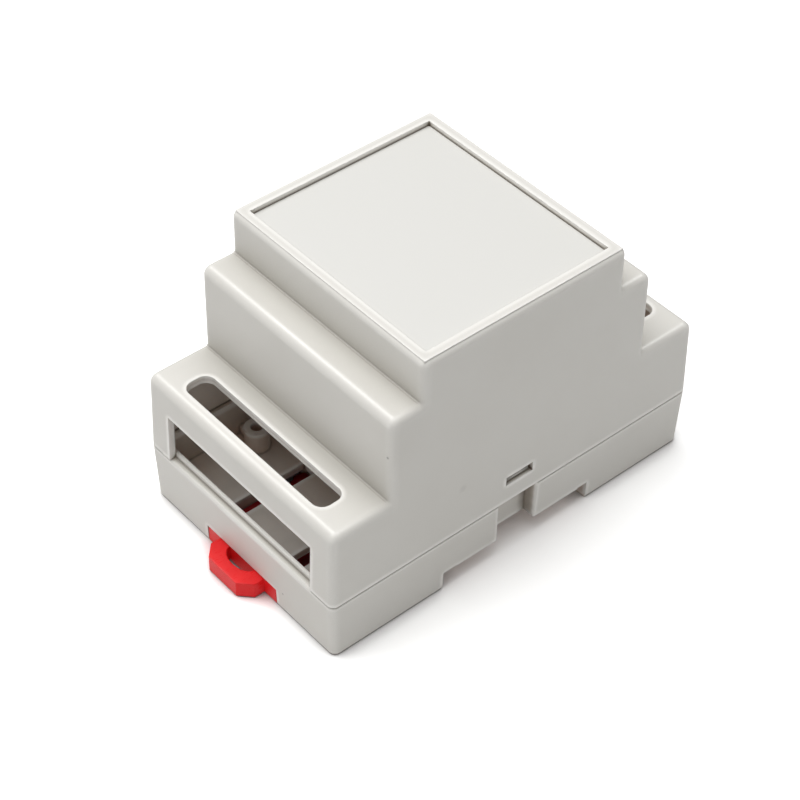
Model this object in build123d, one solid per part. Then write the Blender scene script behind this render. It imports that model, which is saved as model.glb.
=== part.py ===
from build123d import *
import os
from math import radians, tan

os.makedirs("parts", exist_ok=True)

# A moulded case for electronics that snaps on to a 35 mm top-hat rail. Sizes are in millimetres.
# X runs along the rail, Y across it and Z away from it. The origin is the middle of the rail seat,
# the flat under the floor that lies against the rail's flanges.

# Outer form of the case
case_width = 54.0
case_length = 88.0
case_height = 59.0
foot_depth = 4.1
seam_height = 13.4
shoulder_height = 30.8
top_rise = 9.3
shoulder_depth = 13.5
ledge_depth = 7.0
side_draft = 0.85
shoulder_lean = 0.5
foot_lean = 0.5
step_radius = 1.8
top_radius = 1.3
side_radius = 1.4
root_radius = 0.3
foot_radius = 0.7
seam_chamfer = 0.1
seam_bevel = 0.4

# Walls: the cover's decks are thicker than its sides, and the base's wall is thicker than the cover's,
# so its inner part stands up as a lip inside the cover
cover_wall = 1.3
deck_thickness = 1.75
base_wall = 2.1
floor_thickness = 1.6
lip_height = 1.0
fit_gap = 0.1

# Openings of the cover
end_opening_width = 41.5
end_opening_top_height = 24.2
slot_length = 39.9
slot_width = 5.9
slot_inset = 6.2
slot_corner_radius = 2.2

# Snap hooks of the base and their windows in the cover
window_width = 6.5
window_height = 2.0
window_low_height = 17.7
hook_side_gap = 0.45
hook_reach = 2.2
hook_tip = 0.5
arm_thickness = 1.6
arm_width = 7.6
notch_width = 9.1
notch_bevel = 0.2
notch_depth = 3.0
cheek = 1.5

# Top panel, its frame and its snap legs
panel_recess = 1.0
panel_rim = 2.5
panel_thickness = 1.8
panel_corner = 0.4
shelf_width = 1.4
shelf_thickness = 1.4
leg_width = 5.0
leg_thickness = 1.2
leg_spacing = 22.0
leg_gap = 0.15
barb_reach = 0.6
barb_length = 1.6

# Circuit board bosses on the floor
boss_spacing_x = 39.8
boss_spacing_y = 49.0
boss_diameter = 5.0
boss_top_height = 10.6
pilot_diameter = 2.4
pilot_depth = 4.4
gusset_thickness = 1.0
gusset_drop = 3.0

# Rail channel between the feet, the seat in it that the rail lies against, a little proud of the
# floor beside it, and the fixed hooks that reach under the rail's far flange
channel_near = 17.8
channel_far = 18.4
foot_wall = 1.8
foot_rib = 1.2
flange_gap = 1.2
fixed_hook_width = 10.0
fixed_hook_centre = 13.0
fixed_hook_reach = 2.2
fixed_hook_rise = 0.5
seat_near = 14.6
seat_far = 15.9
seat_relief = 0.2

# Rail clip and its channel in the near foot
clip_width = 20.4
clip_side_gap = 0.15
clip_top_gap = 0.1
clip_foot_gap = 0.3
channel_wall = 1.6
guide_thickness = 0.9
guide_width = 1.7
guide_slot_width = 3.3
guide_inset = 4.8
guide_foot_gap = 2.8
wing_thickness = 2.0
arm_slit = 1.3
clip_arm_width = 1.85
clip_arm_drop = 1.0
arm_end_gap = 0.8
slit_inset = 5.2
bump_length = 3.2
bump_reach = 0.7
clip_travel = 4.0
nose_reach = 2.7
nose_lead = 1.2
loop_width = 13.2
loop_front_width = 8.2
loop_reach = 4.6
loop_chamfer = 2.4
loop_thickness = 3.4
loop_bar = 2.4
loop_hole_width = 7.5
loop_radius = 0.4

# Levels above the rail seat
foot_z = -foot_depth
seam_z = seam_height - foot_depth
shoulder_z = shoulder_height - foot_depth
top_z = case_height - foot_depth
ledge_z = top_z - top_rise
window_z = window_low_height - foot_depth
panel_z = top_z - panel_recess - panel_thickness
boss_z = boss_top_height - foot_depth

# Half sizes and lengths that several pieces share
half_width = case_width / 2
half_length = case_length / 2
middle_length = case_length - 2 * shoulder_depth
top_length = middle_length - 2 * ledge_depth
clip_half = clip_width / 2
clip_channel_half = clip_half + clip_side_gap
guide_front = half_length - guide_inset
clear = 1.0


def block(x_limits, y_limits, z_limits):
    """Rectangular block between two limits on each axis."""
    size = [high - low for low, high in (x_limits, y_limits, z_limits)]
    centre = [(low + high) / 2 for low, high in (x_limits, y_limits, z_limits)]
    return Pos(*centre) * Box(*size)


def both_sides(piece):
    """The piece and its mirror image across the plane X = 0."""
    return piece + mirror(piece, about=Plane.YZ)


def both_ends(piece):
    """The piece and its mirror image across the plane Y = 0."""
    return piece + mirror(piece, about=Plane.XZ)


def half_width_at(level):
    """Half the outer width of the cover at a level: its long sides lean in by the mould draft."""
    return half_width - (level - seam_z) * tan(radians(side_draft))


def stepped_block(inset, drop, low, high, radii):
    """Stepped form of the cover from low to high, with sides moved in by the inset and decks down by the drop."""
    step_round, root_round, top_round = radii
    end = half_length - inset
    middle = middle_length / 2 - inset
    top = top_length / 2 - inset
    corners = [
        (end, low),
        (end - shoulder_lean, shoulder_z - drop),
        (middle, shoulder_z - drop),
        (middle, ledge_z - drop),
        (top, ledge_z - drop),
        (top, high),
    ]
    rounds = [0, step_round, root_round, step_round, root_round, top_round]
    corners += [(-y, z) for y, z in reversed(corners)]
    rounds += rounds[::-1]
    section = make_face(FilletPolyline(*corners, radius=rounds, close=True))
    body = extrude(Plane.YZ * section, amount=half_width, both=True)
    flanks = Rectangle(2 * (half_width_at(low) - inset), case_length + case_width)
    return body & extrude(Plane.XY.offset(low) * flanks, amount=high - low, taper=side_draft)


def outer_shell():
    """Solid outer form of the cover with its rounded flank edges and the bevel at the seam."""
    solid = stepped_block(0, 0, seam_z, top_z, (step_radius, root_radius, top_radius))
    flanks = solid.faces().sort_by(Axis.X)
    flank_edges = flanks[0].edges() + flanks[-1].edges()
    raised = [edge for edge in flank_edges if edge.center().Z > seam_z + root_radius]
    solid = fillet(raised, side_radius)
    return chamfer(solid.edges().group_by(Axis.Z)[0], seam_chamfer)


def make_cover():
    """Upper shell: stepped walls, end openings, shoulder slots, snap windows and the panel's shelf."""
    cover = outer_shell()
    inner_radii = (root_radius, root_radius, 0)
    cover -= stepped_block(cover_wall, deck_thickness, seam_z - clear, top_z + clear, inner_radii)

    # Wire opening through each end wall, from the seam up, and screwdriver slot through each shoulder
    opening_half = end_opening_width / 2
    opening_top = end_opening_top_height - foot_depth
    passage = half_length - cover_wall - shoulder_lean - clear
    cover -= both_ends(
        block(
            (-opening_half, opening_half),
            (-half_length - clear, -passage),
            (seam_z - clear, opening_top),
        )
    )
    slot_centre = half_length - slot_inset
    slot = Pos(0, -slot_centre) * RectangleRounded(slot_length, slot_width, slot_corner_radius)
    slot_low = shoulder_z - deck_thickness - clear
    cover -= both_ends(extrude(Plane.XY.offset(slot_low) * slot, amount=deck_thickness + 2 * clear))

    # Windows for the snap hooks of the base
    cover -= both_sides(
        block(
            (half_width - cover_wall - clear, half_width + clear),
            (-window_width / 2, window_width / 2),
            (window_z, window_z + window_height),
        )
    )

    # Frame round the panel, which fills the rim out to the walls, and the shelf all round under it
    frame_x, frame_y = panel_frame()
    reach = panel_rim - cover_wall / 2
    grown = Rectangle(2 * (frame_x + reach), 2 * (frame_y + reach))
    frame = grown - Rectangle(2 * frame_x, 2 * frame_y)
    shelf = grown - Rectangle(2 * (frame_x - shelf_width), 2 * (frame_y - shelf_width))
    shelf_z = panel_z - shelf_thickness
    cover += extrude(Plane.XY.offset(shelf_z) * frame, amount=top_z - shelf_z)
    return cover + extrude(Plane.XY.offset(shelf_z) * shelf, amount=shelf_thickness)


def panel_frame():
    """Half sizes of the opening in the cover's top that the panel lies in."""
    return half_width_at(top_z) - panel_rim, top_length / 2 - panel_rim


def make_top_panel():
    """Flat plate in the frame of the top, with two snap legs on each long side."""
    frame_x, frame_y = panel_frame()
    outline = RectangleRounded(2 * (frame_x - fit_gap), 2 * (frame_y - fit_gap), panel_corner)
    panel = extrude(Plane.XY.offset(panel_z) * outline, amount=panel_thickness)

    # A leg passes inside the shelf and its barb catches under it
    outer_x = frame_x - shelf_width - leg_gap
    shelf_low = panel_z - shelf_thickness - fit_gap
    profile = [
        (outer_x - leg_thickness, panel_z),
        (outer_x, panel_z),
        (outer_x, shelf_low),
        (outer_x + barb_reach, shelf_low),
        (outer_x, shelf_low - barb_length),
        (outer_x - leg_thickness, shelf_low - barb_length),
    ]
    leg = extrude(Plane.XZ * make_face(Polyline(*profile, close=True)), amount=leg_width / 2, both=True)
    for place in (-leg_spacing / 2, leg_spacing / 2):
        panel += both_sides(Pos(0, place, 0) * leg)
    return panel


def base_tray():
    """Outer form of the base with its cavity, its standing lip and the rail channel across it."""
    bevel_z = seam_z - seam_bevel
    foot_outline = RectangleRounded(case_width - foot_lean, case_length - 2 * foot_lean, side_radius)
    rim_outline = RectangleRounded(case_width, case_length, side_radius)
    bevel_outline = RectangleRounded(
        case_width - 2 * seam_bevel, case_length - 2 * seam_bevel, side_radius - seam_bevel
    )
    rim = Plane.XY.offset(bevel_z) * rim_outline
    tray = loft([Plane.XY.offset(foot_z) * foot_outline, rim], ruled=True)
    tray = fillet(tray.edges().group_by(Axis.Z)[0], foot_radius)
    tray += loft([rim, Plane.XY.offset(seam_z) * bevel_outline], ruled=True)

    inset = cover_wall + fit_gap
    lip = RectangleRounded(case_width - 2 * inset, case_length - 2 * inset, side_radius)
    tray += extrude(Plane.XY.offset(seam_z - clear) * lip, amount=clear + lip_height)
    hollow = RectangleRounded(case_width - 2 * base_wall, case_length - 2 * base_wall, root_radius)
    tray -= extrude(Plane.XY.offset(floor_thickness) * hollow, amount=case_height)
    return tray - block((-case_width, case_width), (-channel_near, channel_far), (foot_z - clear, 0))


def foot_pockets():
    """Hollows under both feet, between the walls, the ribs and the channel of the clip."""
    outer_x = half_width - foot_lean / 2 - base_wall
    outer_y = half_length - foot_lean - base_wall
    depth = (foot_z - clear, 0)
    pockets = []

    # Near foot: two hollows on each side of the clip's channel, with a rib between them
    near_x = clip_channel_half + channel_wall
    near_inner = channel_near + foot_wall
    rib_y = (outer_y + near_inner) / 2
    for y_limits in ((-outer_y, -rib_y - foot_rib / 2), (foot_rib / 2 - rib_y, -near_inner)):
        pockets.append(both_sides(block((near_x, outer_x), y_limits, depth)))

    # Far foot: four hollows side by side
    far_inner = channel_far + foot_wall
    step = outer_x / 2
    for x_limits in ((foot_rib / 2, step - foot_rib / 2), (step + foot_rib / 2, outer_x)):
        pockets.append(both_sides(block(x_limits, (far_inner, outer_y), depth)))
    return pockets


def clip_channel():
    """Space under the floor of the near foot that the clip slides in, with the pockets of its bumps."""
    run = half_length + clear
    depth = (foot_z - clear, 0)
    space = block((-clip_channel_half, clip_channel_half), (-run, -channel_near - foot_wall), depth)
    nose_half = nose_half_width() + clip_side_gap
    space += block((-nose_half, nose_half), (-run, -channel_near + clear), depth)
    bump_front, bump_back = bump_limits()
    room = block(
        (clip_channel_half - clear, clip_channel_half + channel_wall + clear),
        (bump_front - clip_travel - clip_side_gap, bump_back + clip_side_gap),
        depth,
    )
    return space + both_sides(room)


def nose_half_width():
    """Half the width of the clip's tongue between its two side arms."""
    return clip_half - clip_arm_width - arm_slit


def bump_limits():
    """Front and back of the bump at the free end of each clip arm, on the Y axis."""
    back = -channel_near - foot_wall - arm_end_gap
    return back - bump_length, back


def snap_hook():
    """Recessed wall, arm and hook that hold the cover on the right-hand side of the base."""
    recess_x = half_width - notch_depth
    inner_x = recess_x - arm_thickness
    half_notch = notch_width / 2
    half_body = half_notch + cheek
    body = block((inner_x, half_width - base_wall + clear), (-half_body, half_body), (0, seam_z))
    body += block((inner_x, recess_x), (-arm_width / 2, arm_width / 2), (0, window_z + window_height))
    low = window_z + fit_gap
    profile = [
        (recess_x - arm_thickness / 2, low),
        (recess_x + hook_reach, low),
        (recess_x + hook_reach, low + hook_tip),
        (recess_x, window_z + window_height),
        (recess_x - arm_thickness / 2, window_z + window_height),
    ]
    hook_half = window_width / 2 - hook_side_gap
    face = Plane.XZ * make_face(Polyline(*profile, close=True))
    return body + extrude(face, amount=hook_half, both=True)


def snap_notch():
    """Recess in the outside of the base's right-hand wall, under the snap window, with bevelled sides."""
    recess_x = half_width - notch_depth
    half_notch = notch_width / 2
    face_x = half_width - foot_lean / 2
    flare = notch_bevel + half_width + clear - face_x
    outline = [
        (recess_x, -half_notch),
        (face_x - notch_bevel, -half_notch),
        (half_width + clear, -half_notch - flare),
        (half_width + clear, half_notch + flare),
        (face_x - notch_bevel, half_notch),
        (recess_x, half_notch),
    ]
    face = Plane.XY.offset(foot_z - clear) * make_face(Polyline(*outline, close=True))
    return extrude(face, amount=seam_z + 2 * clear - foot_z + lip_height)


def fixed_hook():
    """Hook on the far foot that reaches under the rail's flange, with a sloped lead-in."""
    tip_y = channel_far - fixed_hook_reach
    profile = [
        (channel_far + foot_wall / 2, -flange_gap),
        (tip_y, -flange_gap),
        (tip_y, -flange_gap - fixed_hook_rise),
        (channel_far, foot_z + fixed_hook_rise),
        (channel_far + foot_wall / 2, foot_z + fixed_hook_rise),
    ]
    face = Plane.YZ * make_face(Polyline(*profile, close=True))
    return Pos(fixed_hook_centre, 0, 0) * extrude(face, amount=fixed_hook_width / 2, both=True)


def board_boss():
    """Screw boss with its pilot hole and a gusset to the side wall, at the near right-hand corner."""
    x, y = boss_spacing_x / 2, -boss_spacing_y / 2
    stem = Plane.XY.offset(floor_thickness) * Pos(x, y) * Circle(boss_diameter / 2)
    boss = extrude(stem, amount=boss_z - floor_thickness)
    half_gusset = gusset_thickness / 2
    gusset_y = (y - half_gusset, y + half_gusset)
    boss += block((x, half_width - base_wall / 2), gusset_y, (0, boss_z - gusset_drop))
    pilot = Plane.XY.offset(boss_z - pilot_depth) * Pos(x, y) * Circle(pilot_diameter / 2)
    return boss - extrude(pilot, amount=pilot_depth + clear)


def make_base():
    """Lower shell: tray, feet, rail channel, clip channel, hooks and bosses in one moulding."""
    base = base_tray()
    for pocket in foot_pockets():
        base -= pocket
    base -= clip_channel()

    # Guides under the clip's arms, each below a slot in the floor that its mould core passed through
    slot_inner = clip_channel_half - guide_slot_width
    guide_run = (-guide_front, -channel_near - guide_foot_gap)
    base -= both_sides(block((slot_inner, clip_channel_half), guide_run, (-clear, 2 * clear)))
    guide_inner = clip_channel_half - guide_width
    guide = block(
        (guide_inner, clip_channel_half + channel_wall / 2),
        (-guide_front, bump_limits()[0] - clip_travel - clip_side_gap),
        (foot_z, foot_z + guide_thickness),
    )
    base += both_sides(guide)

    # Fixed rail hooks, with the openings in the floor that their mould cores passed through
    base += both_sides(fixed_hook())
    hook_low = fixed_hook_centre - fixed_hook_width / 2
    hook_high = fixed_hook_centre + fixed_hook_width / 2
    hook_y = (channel_far - fixed_hook_reach, channel_far)
    base -= both_sides(block((hook_low, hook_high), hook_y, (-clear, 2 * clear)))

    base += both_ends(both_sides(board_boss()))
    base += both_sides(snap_hook())
    base -= both_sides(snap_notch())

    # The floor lies back a little from the rail on both sides of the seat
    for y_limits in ((-channel_near, -seat_near), (seat_far, channel_far)):
        base -= block((-case_width, case_width), y_limits, (-clear, seat_relief))
    return base


def clip_plate(clip_low, clip_high):
    """Flat body of the clip: a central tongue and two thinner side arms with bumps at their free ends."""
    front = half_length - foot_lean
    wing_back = wing_thickness - front
    tongue_half = nose_half_width()
    bump_front, bump_back = bump_limits()
    nose_tip = nose_reach - channel_near
    tongue = block((-tongue_half, tongue_half), (-front + clear, nose_tip), (clip_low, clip_high))
    slit_front = half_length - slit_inset
    root = block((-clip_half, clip_half), (-front + clear, -slit_front), (clip_low, clip_high))
    arm_x = (clip_half - clip_arm_width, clip_half)
    arm_high = clip_high - clip_arm_drop
    arm = block(arm_x, (-slit_front - clear, bump_back), (clip_low, arm_high))
    bump = [
        (clip_half - bump_reach, bump_back),
        (clip_half, bump_back),
        (clip_half + bump_reach, bump_back - bump_reach),
        (clip_half + bump_reach, bump_front + bump_reach),
        (clip_half, bump_front),
        (clip_half - bump_reach, bump_front),
    ]
    bump_face = Plane.XY.offset(clip_low) * make_face(Polyline(*bump, close=True))
    arm += extrude(bump_face, amount=arm_high - clip_low)
    wing = block((-clip_half, clip_half), (-front, wing_back), (foot_z + clip_foot_gap, clip_high))
    return tongue + root + both_sides(arm) + wing


def clip_loop():
    """Pull loop in front of the clip, a six-sided ring with a hole for a fingertip or screwdriver."""
    front = half_length - foot_lean
    outline = [
        (loop_width / 2, clear - front),
        (loop_width / 2, -front - loop_reach + loop_chamfer),
        (loop_front_width / 2, -front - loop_reach),
        (-loop_front_width / 2, -front - loop_reach),
        (-loop_width / 2, -front - loop_reach + loop_chamfer),
        (-loop_width / 2, clear - front),
    ]
    rounds = [0, loop_radius, loop_radius, loop_radius, loop_radius, 0]
    ring = make_face(FilletPolyline(*outline, radius=rounds, close=True))
    hole = Pos(0, -front) * Ellipse(loop_hole_width / 2, loop_reach - loop_bar)
    return extrude(Plane.XY.offset(foot_z + clip_foot_gap) * (ring - hole), amount=loop_thickness)


def make_rail_clip():
    """Latch that slides in the near foot: wing, loop, sprung arms and the nose that holds the rail."""
    clip_low = foot_z + guide_thickness + clip_top_gap
    clip_high = -clip_top_gap
    clip = clip_plate(clip_low, clip_high) + clip_loop()

    # The nose is thinner than the tongue, to pass under the rail's flange, and sloped to ride over it
    tongue_half = nose_half_width() + clear
    nose_back = -channel_near
    nose_tip = nose_reach - channel_near
    clip -= block((-tongue_half, tongue_half), (nose_back, nose_tip + clear), (-flange_gap, clear))
    lead = [(nose_tip + clear, clip_low - clear), (nose_tip + clear, clip_low + nose_lead + clear)]
    lead += [(nose_tip - nose_lead - clear, clip_low - clear)]
    wedge = extrude(Plane.YZ * make_face(Polyline(*lead, close=True)), amount=tongue_half, both=True)
    return clip - wedge


pieces = {
    "base": make_base(),
    "cover": make_cover(),
    "top_panel": make_top_panel(),
    "rail_clip": make_rail_clip(),
}
for name, piece in pieces.items():
    export_step(piece, f"parts/{name}.step")
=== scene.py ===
import bpy
import numpy as np
from mathutils import Matrix, Vector


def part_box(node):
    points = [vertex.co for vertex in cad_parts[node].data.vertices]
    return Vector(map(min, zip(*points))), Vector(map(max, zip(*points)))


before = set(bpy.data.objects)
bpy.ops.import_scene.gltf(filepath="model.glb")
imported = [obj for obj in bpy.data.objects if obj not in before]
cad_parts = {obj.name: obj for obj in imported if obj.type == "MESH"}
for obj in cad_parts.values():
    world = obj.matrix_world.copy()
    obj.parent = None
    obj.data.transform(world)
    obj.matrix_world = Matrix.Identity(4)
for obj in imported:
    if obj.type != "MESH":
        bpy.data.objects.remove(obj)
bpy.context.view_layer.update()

# Base: the lower shell of the case, with the feet, the rail channel, the screw bosses and the snap hooks.
# It is one moulding of light grey ABS from a spark-eroded tool. The cover snaps on to it at the seam.
MM = 0.001
HOUSING_GREY = "#E1DFD9"
HOUSING_SHADE = "#DBD8D1"
# Painted shade on the steps near the walls behind them
SHELTER_SHADE_GREY = "#C4C1B9"
# Painted shade, darker and browner, on the closed-in inside
INSIDE_SHADE_BROWN = "#DEC5B4"
# Rims painted lighter, partly for wear and partly as a painted highlight
RUBBED_EDGE_AND_HIGHLIGHT = "#F9F7F2"
# Painted shade in the creases
CREASE_SHADE_GREY = "#75695B"
# Charred specks, and patches of painted shade
SPECK_AND_SHADE_GREY = "#65615A"

# Widths and depths of the patterns, and the radius that sharp edges get, in mm
CLOUD_WIDTH = 18
WAVE_WIDTH = 14
WAVE_DEPTH = 0.02
GRAIN_DEPTH = 0.003
EDGE_RADIUS = 0.35

# Nearly all values of a noise lie in this span
NOISE_SPAN = (0.3, 0.7)

# Roughness: how far it swings with the clouds, what full wear takes off and what a painted dark crease adds
SHEEN_SWING = 0.03
WEAR_POLISH = 0.18
CREASE_DULLING = 0.8

# Closed-in places: how far away walls count, in mm, and how open their surroundings are, as a share of all
# directions, where the effect starts and where it is full
SHELTERED_STEP = (12, (0.95, 0.5))
HOLLOW_INSIDE = (60, (0.2, 0.12))
THIN_RIM = (1.1, (0.97, 0.75))
CREASE = (0.8, (0.86, 0.55))

# Open air round a point, within so many mm, and the shares of it over which an edge turns from sharp to
# rounded and from out of reach to handled. A handled rim is painted lighter, partly for wear and partly
# as a painted highlight
OPEN_AIR_REACH = 1.5
ROUNDED_SPAN = (0.35, 0.75)
HANDLED_AND_LIT_SPAN = (0.6, 0.95)

# A speck or a spot of painted shade fades out between these shares of its radius
SPOT_FADE = (1.5, 0.5)


def linear(hex_colour):
    """sRGB hex as linear RGBA. A channel c is c / 12.92 up to 0.04045, else ((c + 0.055) / 1.055) ** 2.4."""
    c = np.array([int(hex_colour[i:i + 2], 16) for i in (1, 3, 5)]) / 255
    c = np.where(c <= 0.04045, c / 12.92, ((c + 0.055) / 1.055) ** 2.4)
    return (*c.tolist(), 1.0)


def node(tree, kind, inputs=None, **settings):
    """One shader node. Settings are its attributes, and inputs maps a socket to a value or to its source.
    A Mix node's colours are inputs 6 and 7 and output 2, and its vectors inputs 4 and 5 and output 1."""
    made = tree.nodes.new(kind)
    for name, value in settings.items():
        setattr(made, name, value)
    for name, value in (inputs or {}).items():
        if isinstance(value, bpy.types.NodeSocket):
            tree.links.new(value, made.inputs[name])
        else:
            made.inputs[name].default_value = value
    return made


def empty_tree(owner):
    """Node tree of a new material or world, with nothing in it."""
    owner.use_nodes = True
    owner.node_tree.nodes.clear()
    return owner.node_tree


def closed_in(tree, reach, span, samples, **settings):
    """Share that goes from 0 to 1 as the open part of all that lies within reach mm goes from span[0] to
    span[1]. With inside=True it looks into the plastic, and with only_local=True at its own piece alone."""
    air = node(tree, "ShaderNodeAmbientOcclusion", {"Distance": reach * MM}, samples=samples, **settings)
    share = node(tree, "ShaderNodeMapRange", {"Value": air.outputs["AO"], "From Min": span[0],
                                              "From Max": span[1]})
    return share.outputs["Result"]


def moulded_abs(name, colour, shade, specks_and_shade=(), roughness=0.46, grain=0.45, crease_shade=0.9, wear_and_highlight=0.85):
    """ABS as it leaves a spark-eroded tool: a fine even grain, flat satin sheen, and slow waves where the
    melt shrank. The tool's real grain is about 0.1 mm, too fine to show, so it is drawn at the given width
    in mm. The crease shade is how dark a painted shade makes the creases, and the wear and highlight how
    much lighter the rims are painted, partly for wear and partly as a painted highlight. Each speck or spot
    of shade is a charred granule, a smudge or a patch of painted shade, with its x, y, z and radius in mm
    and its strength. The steps near walls and the closed-in inside are painted darker as shade too."""
    material = bpy.data.materials.new(name)
    tree = empty_tree(material)
    place = node(tree, "ShaderNodeTexCoord").outputs["Object"]

    # Slow clouds of tone
    cloud = node(tree, "ShaderNodeTexNoise", {"Vector": place, "Scale": 1 / (CLOUD_WIDTH * MM),
                                              "Detail": 2.0}).outputs["Fac"]
    tone = node(tree, "ShaderNodeMix", {"Factor": cloud, 6: linear(colour), 7: linear(shade)},
                data_type="RGBA").outputs[2]

    # Painted shade: the steps near the walls behind them are painted darker, the closed-in inside darker
    # and browner, and the creases dark
    step_shade = closed_in(tree, *SHELTERED_STEP, samples=6, only_local=True)
    inside = closed_in(tree, *HOLLOW_INSIDE, samples=6)
    crease = closed_in(tree, *CREASE, samples=8)
    dark_crease = node(tree, "ShaderNodeMath", {0: crease, 1: crease_shade}, operation="MULTIPLY").outputs[0]

    # A rim has little plastic behind it. Hands wear it, but they don't reach the walls of a recess. The rim
    # is painted lighter there, partly for that wear and partly as a painted highlight on the edge
    rim = closed_in(tree, *THIN_RIM, samples=8, inside=True)
    open_air = node(tree, "ShaderNodeAmbientOcclusion", {"Distance": OPEN_AIR_REACH * MM},
                    samples=6).outputs["AO"]
    reached_and_lit = node(tree, "ShaderNodeMapRange", {"Value": open_air, "From Min": HANDLED_AND_LIT_SPAN[0],
                                                "From Max": HANDLED_AND_LIT_SPAN[1]}).outputs["Result"]
    rub_and_highlight = node(tree, "ShaderNodeMath", {0: rim, 1: reached_and_lit}, operation="MULTIPLY").outputs[0]
    rubbed_and_highlight = node(tree, "ShaderNodeMath", {0: rub_and_highlight, 1: wear_and_highlight}, operation="MULTIPLY").outputs[0]

    # Each layer is a share and the colour that it brings
    layers = [(step_shade, SHELTER_SHADE_GREY), (inside, INSIDE_SHADE_BROWN), (rubbed_and_highlight, RUBBED_EDGE_AND_HIGHLIGHT), (dark_crease, CREASE_SHADE_GREY)]
    for x, y, z, radius, strength in specks_and_shade:
        away = node(tree, "ShaderNodeVectorMath", {0: place, 1: (x * MM, y * MM, z * MM)},
                    operation="DISTANCE").outputs["Value"]
        spot = node(tree, "ShaderNodeMapRange", {"Value": away, "From Min": SPOT_FADE[0] * radius * MM,
                                                 "From Max": SPOT_FADE[1] * radius * MM,
                                                 "To Max": strength})
        layers.append((spot.outputs["Result"], SPECK_AND_SHADE_GREY))
    for share, layer_colour in layers:
        tone = node(tree, "ShaderNodeMix", {"Factor": share, 6: tone, 7: linear(layer_colour)},
                    data_type="RGBA").outputs[2]

    # Sheen: it varies a little with the clouds, handled rims are smoother and the painted dark creases dull
    sheen = node(tree, "ShaderNodeMapRange", {"Value": cloud, "From Min": NOISE_SPAN[0],
                                              "From Max": NOISE_SPAN[1],
                                              "To Min": roughness - SHEEN_SWING,
                                              "To Max": roughness + SHEEN_SWING}).outputs["Result"]
    for share, change in ((rub_and_highlight, -WEAR_POLISH), (dark_crease, CREASE_DULLING)):
        sheen = node(tree, "ShaderNodeMath", {0: share, 1: change, 2: sheen},
                     operation="MULTIPLY_ADD").outputs[0]

    # Only outer edges are rounded: an inner corner keeps its sharp dark line
    bevelled = node(tree, "ShaderNodeBevel", {"Radius": EDGE_RADIUS * MM}, samples=6).outputs["Normal"]
    plain = node(tree, "ShaderNodeNewGeometry").outputs["Normal"]
    outer = node(tree, "ShaderNodeMapRange", {"Value": open_air, "From Min": ROUNDED_SPAN[0],
                                              "From Max": ROUNDED_SPAN[1]}).outputs["Result"]
    turned = node(tree, "ShaderNodeMix", {"Factor": outer, 4: plain, 5: bevelled},
                  data_type="VECTOR").outputs[1]

    # Relief: the grain on the slow waves
    waves = node(tree, "ShaderNodeTexNoise", {"Vector": place, "Scale": 1 / (WAVE_WIDTH * MM),
                                              "Detail": 1.0}).outputs["Fac"]
    relief = node(tree, "ShaderNodeBump", {"Height": waves, "Distance": WAVE_DEPTH * MM,
                                           "Normal": turned}).outputs["Normal"]
    fine = node(tree, "ShaderNodeTexNoise", {"Vector": place, "Scale": 1 / (grain * MM), "Detail": 3.0,
                                             "Roughness": 0.6}).outputs["Fac"]
    skin = node(tree, "ShaderNodeBump", {"Height": fine, "Distance": GRAIN_DEPTH * MM,
                                         "Normal": relief}).outputs["Normal"]
    shader = node(tree, "ShaderNodeBsdfPrincipled", {"Base Color": tone, "Roughness": sheen, "IOR": 1.53,
                                                     "Normal": skin})
    node(tree, "ShaderNodeOutputMaterial", {"Surface": shader.outputs["BSDF"]})
    return material


def dress(name, material):
    """Gives a CAD node its finish."""
    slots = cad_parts[name].data.materials
    slots.clear()
    slots.append(material)


# A charred granule on the end wall, and painted shade on the inner floor just inside the end opening,
# on the snap hook's face, darkest at its ends, and in the far corner of the notch under it
GRANULE = [(12.4, -43.6, 0.7, 0.2, 0.6)]
INNER_FLOOR_SHADE = [(x, -36.0, 1.6, 5.0, share) for x, share in ((-12, 0.32), (-3, 0.36), (6, 0.46), (15, 0.5))]
HOOK_FACE_SHADE = [(26.2, y, 14.6, 1.2, share) for y, share in ((-2.8, 0.6), (-1, 0.3), (1, 0.3), (2.8, 0.7))]
NOTCH_CORNER_SHADE = [(24.7, 4.6, z, 1.4, 0.45) for z in (-2.5, 0.0, 2.5, 5.0, 7.5)]
dress("base", moulded_abs("ABS_light_grey_lower_shell", HOUSING_GREY, HOUSING_SHADE, crease_shade=0.5,
                          specks_and_shade=GRANULE + INNER_FLOOR_SHADE + HOOK_FACE_SHADE + NOTCH_CORNER_SHADE))

# Rail clip: the red latch that slides in the near foot, with its sprung arms and its pull loop.
# It is moulded from acetal in a polished tool, so it is smooth, a little waxy and brighter than the case.
CLIP_RED = "#FB2527"
CLIP_DEEP_RED = "#E41A20"
CLIP_SHADED_RED = "#7C1519"
CLIP_GLOSS = (0.26, 0.36)

# Radius of its edges and widths and depths of its patterns, in mm
CLIP_EDGE_RADIUS = 0.3
CLIP_CLOUD_WIDTH = 5
SCRATCH_GAP = 0.15
RIPPLE_WIDTH = 3.5
RIPPLE_DEPTH = 0.03

# Painted shade: the red is painted darker over SHADE_FADE mm of Y, from SHADE_GAP mm deeper than what
# the travel brings out
LATCH_TRAVEL = 4.0
SHADE_GAP = 0.5
SHADE_FADE = 1.5
SHADE_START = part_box("base")[0].y + (LATCH_TRAVEL + SHADE_GAP) * MM
SHADE_FULL = SHADE_START + SHADE_FADE * MM


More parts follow.
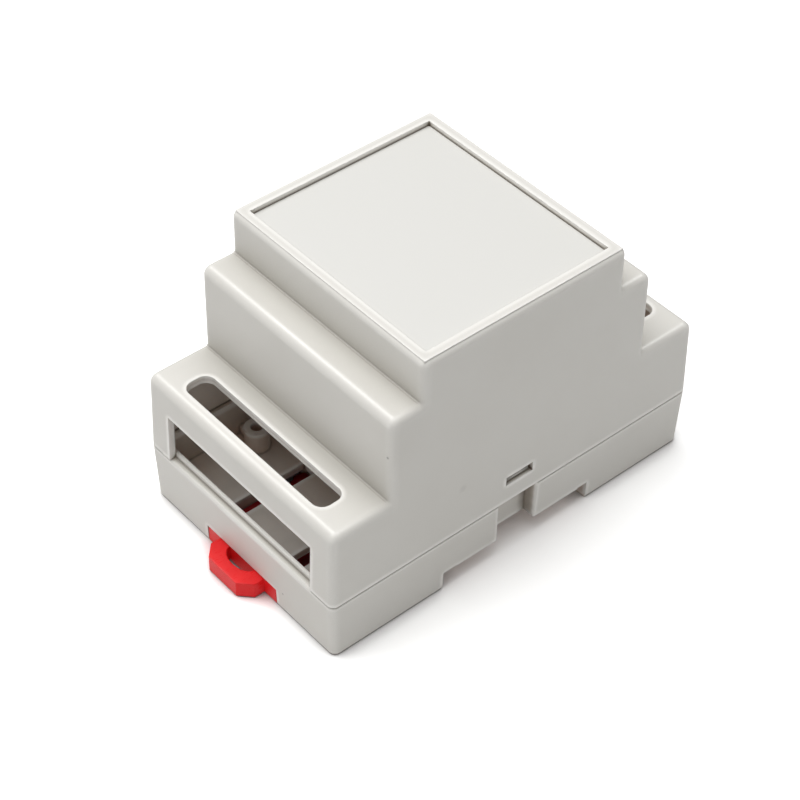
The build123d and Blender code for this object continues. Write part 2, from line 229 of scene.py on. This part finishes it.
def moulded_acetal(name, colour, deep):
    """Acetal from a polished tool: even bright colour, soft waxy gloss, slow ripples and fine scratches.
    Its part deep inside the base is painted darker, as shade.
    """
    material = bpy.data.materials.new(name)
    tree = empty_tree(material)
    place = node(tree, "ShaderNodeTexCoord").outputs["Object"]
    cloud = node(tree, "ShaderNodeTexNoise", {"Vector": place, "Scale": 1 / (CLIP_CLOUD_WIDTH * MM),
                                              "Detail": 2.0}).outputs["Fac"]
    tone = node(tree, "ShaderNodeMix", {"Factor": cloud, 6: linear(colour), 7: linear(deep)},
                data_type="RGBA").outputs[2]
    depth = node(tree, "ShaderNodeSeparateXYZ", {"Vector": place}).outputs["Y"]
    shaded = node(tree, "ShaderNodeMapRange", {"Value": depth, "From Min": SHADE_START,
                                               "From Max": SHADE_FULL}).outputs["Result"]
    tone = node(tree, "ShaderNodeMix", {"Factor": shaded, 6: tone, 7: linear(CLIP_SHADED_RED)},
                data_type="RGBA").outputs[2]

    # Scratches run along the slide, drawn ten times as long as the gap between them
    stretched = node(tree, "ShaderNodeMapping", {"Vector": place,
                                                 "Scale": (1.0, 0.1, 1.0)}).outputs["Vector"]
    scratch = node(tree, "ShaderNodeTexNoise", {"Vector": stretched, "Scale": 1 / (SCRATCH_GAP * MM),
                                                "Detail": 2.0}).outputs["Fac"]
    gloss = node(tree, "ShaderNodeMapRange", {"Value": scratch, "From Min": NOISE_SPAN[0],
                                              "From Max": NOISE_SPAN[1], "To Min": CLIP_GLOSS[0],
                                              "To Max": CLIP_GLOSS[1]}).outputs["Result"]

    # Relief: slow ripples, and edges rounded by the tool
    bevelled = node(tree, "ShaderNodeBevel", {"Radius": CLIP_EDGE_RADIUS * MM}, samples=6).outputs["Normal"]
    ripple = node(tree, "ShaderNodeTexNoise", {"Vector": place, "Scale": 1 / (RIPPLE_WIDTH * MM),
                                               "Detail": 1.0}).outputs["Fac"]
    relief = node(tree, "ShaderNodeBump", {"Height": ripple, "Distance": RIPPLE_DEPTH * MM,
                                           "Normal": bevelled}).outputs["Normal"]
    shader = node(tree, "ShaderNodeBsdfPrincipled", {"Base Color": tone, "Roughness": gloss, "IOR": 1.48,
                                                     "Specular IOR Level": 0.3,
                                                     "Subsurface Weight": 0.12,
                                                     "Subsurface Radius": (1.0, 0.25, 0.2),
                                                     "Subsurface Scale": 1.0 * MM,
                                                     "Normal": relief})
    node(tree, "ShaderNodeOutputMaterial", {"Surface": shader.outputs["BSDF"]})
    return material


dress("rail_clip", moulded_acetal("acetal_red_polished_tool", CLIP_RED, CLIP_DEEP_RED))

# Cover: the stepped upper shell with its wire openings, screwdriver slots and snap windows.
# It is moulded from the same ABS as the base and snaps on to the base's hooks.
COVER_SPECKS = [(25.5, -30.5, 37.2, 0.22, 0.6), (26.8, -13.9, 19.9, 0.7, 0.1)]
dress("cover", moulded_abs("ABS_light_grey_upper_shell", HOUSING_GREY, HOUSING_SHADE, specks_and_shade=COVER_SPECKS))

# Top panel: the flat plate that lies 1 mm deep in the frame of the cover and is held by four snap legs.
# It is ABS of the same batch from a flatter, finer tool, so it is a shade lighter and more even.
PANEL_GREY = "#DEDDD9"
PANEL_SHADE = "#DAD9D4"
dress("top_panel", moulded_abs("ABS_light_grey_flat_panel", PANEL_GREY, PANEL_SHADE, roughness=0.5,
                               grain=0.35, crease_shade=0.1, wear_and_highlight=0.1))

# Studio: a white paper floor that keeps the shadow, a white room, and one large soft box overhead.
# Two strips light no matt surface: they only draw the gleam on the rounded edges.
FLOOR_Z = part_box("base")[0].z
FLOOR_HALF = 2000
PAPER_WHITE = "#EEEEEE"
ROOM_LIGHT = 0.5

# The camera sees the paper whiter than it lights the case: SEEN_WHITE near the case, FAR_WHITE times as much
# at the far end of the span in mm. A painted contact shadow takes it down to a share of that where the case
# closes it in within so many mm
SEEN_WHITE = 1.54
FAR_WHITE = 1.7
FAR_SPAN = (200, 1000)
CONTACT_SHADOW_SHARE = 0.3
CONTACT_SHADOW_REACH = 5
CONTACT_SHADOW_SPAN = (0.25, 0.8)

# Where the lamps stand and aim, in mm, with their side in mm and their power in watts
LIGHT_AIM = (0, 0, 20)
KEY_PLACE = (-150, -90, 690)
KEY_SIZE, KEY_POWER = 640, 4.0
STRIP_PLACES = {"left_strip": (-381, -35, 600), "back_strip": (20, 335, 620)}
STRIP_SIZE, STRIP_POWER = 190, 2.6


def soft_box(name, place, size, power):
    """Square area lamp that shines at the case."""
    lamp = bpy.data.lights.new(name, "AREA")
    lamp.shape = "SQUARE"
    lamp.size = size * MM
    lamp.energy = power
    holder = bpy.data.objects.new(name, lamp)
    bpy.context.scene.collection.objects.link(holder)
    holder.location = Vector(place) * MM
    holder.rotation_euler = (Vector(LIGHT_AIM) - Vector(place)).to_track_quat("-Z", "Y").to_euler()
    return holder


def white_paper():
    """Matt white paper, which the camera sees lifted to white, with a painted contact shadow near the case.
    """
    material = bpy.data.materials.new("paper_white_matt")
    tree = empty_tree(material)
    under = node(tree, "ShaderNodeAmbientOcclusion", {"Distance": CONTACT_SHADOW_REACH * MM}, samples=12)
    seen = node(tree, "ShaderNodeMapRange", {"Value": under.outputs["AO"], "From Min": CONTACT_SHADOW_SPAN[0],
                                             "From Max": CONTACT_SHADOW_SPAN[1],
                                             "To Min": CONTACT_SHADOW_SHARE * SEEN_WHITE,
                                             "To Max": SEEN_WHITE}).outputs["Result"]
    place = node(tree, "ShaderNodeTexCoord").outputs["Object"]
    away = node(tree, "ShaderNodeVectorMath", {0: place}, operation="LENGTH").outputs["Value"]
    far = node(tree, "ShaderNodeMapRange", {"Value": away, "From Min": FAR_SPAN[0] * MM,
                                            "From Max": FAR_SPAN[1] * MM,
                                            "To Min": 1.0, "To Max": FAR_WHITE}).outputs["Result"]
    seen = node(tree, "ShaderNodeMath", {0: seen, 1: far}, operation="MULTIPLY").outputs[0]
    path = node(tree, "ShaderNodeLightPath").outputs["Is Camera Ray"]
    tone = node(tree, "ShaderNodeMix", {"Factor": path, 6: linear(PAPER_WHITE), 7: seen}, data_type="RGBA")
    paper = node(tree, "ShaderNodeBsdfDiffuse", {"Color": tone.outputs[2]})
    node(tree, "ShaderNodeOutputMaterial", {"Surface": paper.outputs["BSDF"]})
    return material


def paper_floor():
    """Floor under the feet: the four corners of a square at the level of the feet."""
    corners = np.array([(-1, -1, 0), (1, -1, 0), (1, 1, 0), (-1, 1, 0)]) * FLOOR_HALF * MM + (0, 0, FLOOR_Z)
    mesh = bpy.data.meshes.new("floor")
    mesh.from_pydata(corners.tolist(), [], [(0, 1, 2, 3)])
    mesh.materials.append(white_paper())
    floor = bpy.data.objects.new("floor", mesh)
    bpy.context.scene.collection.objects.link(floor)
    return floor


paper_floor()
soft_box("key_box", KEY_PLACE, KEY_SIZE, KEY_POWER)
for name, place in STRIP_PLACES.items():
    soft_box(name, place, STRIP_SIZE, STRIP_POWER).visible_diffuse = False

# The room lights the case at ROOM_LIGHT, and the camera sees it white
room = bpy.data.worlds.new("white_room")
tree = empty_tree(room)
path = node(tree, "ShaderNodeLightPath").outputs["Is Camera Ray"]
level = node(tree, "ShaderNodeMapRange", {"Value": path, "To Min": ROOM_LIGHT, "To Max": 1.0})
sky = node(tree, "ShaderNodeBackground", {"Strength": level.outputs["Result"]})
node(tree, "ShaderNodeOutputWorld", {"Surface": sky.outputs["Background"]})
bpy.context.scene.world = room
bpy.context.scene.view_settings.view_transform = "Standard"

# Camera: at the photograph's viewing angle, 0.4 m from the middle of the case, above its near right corner.
# Its angles are in degrees, its place in mm and its lens in mm of focal length on a 36 mm sensor.
AZIMUTH, ELEVATION, ROLL = np.radians((48.900, 43.764, 1.078))
CAMERA_PLACE = (219.612, -197.292, 295.919)
LENS = 97.348
SENSOR = 36.0


def camera_axes(azimuth, elevation, roll):
    """Right, up and back of a camera that looks along +Y at azimuth 0. Back is (sin a cos e, -cos a cos e,
    sin e), right is level at first, up is back x right, and both turn about back by the roll."""
    level_back = np.array((np.sin(azimuth), -np.cos(azimuth), 0.0))
    back = np.cos(elevation) * level_back + np.array((0.0, 0.0, np.sin(elevation)))
    level_right = np.array((np.cos(azimuth), np.sin(azimuth), 0.0))
    level_up = np.cross(back, level_right)
    right = np.cos(roll) * level_right + np.sin(roll) * level_up
    return np.stack((right, np.cross(back, right), back), axis=1)


lens = bpy.data.cameras.new("camera")
lens.lens = LENS
lens.sensor_width = SENSOR
lens.clip_start = 0.01
camera = bpy.data.objects.new("camera", lens)
bpy.context.scene.collection.objects.link(camera)
camera.matrix_world = (Matrix.Translation(Vector(CAMERA_PLACE) * MM)
                       @ Matrix(camera_axes(AZIMUTH, ELEVATION, ROLL).tolist()).to_4x4())
bpy.context.scene.camera = camera
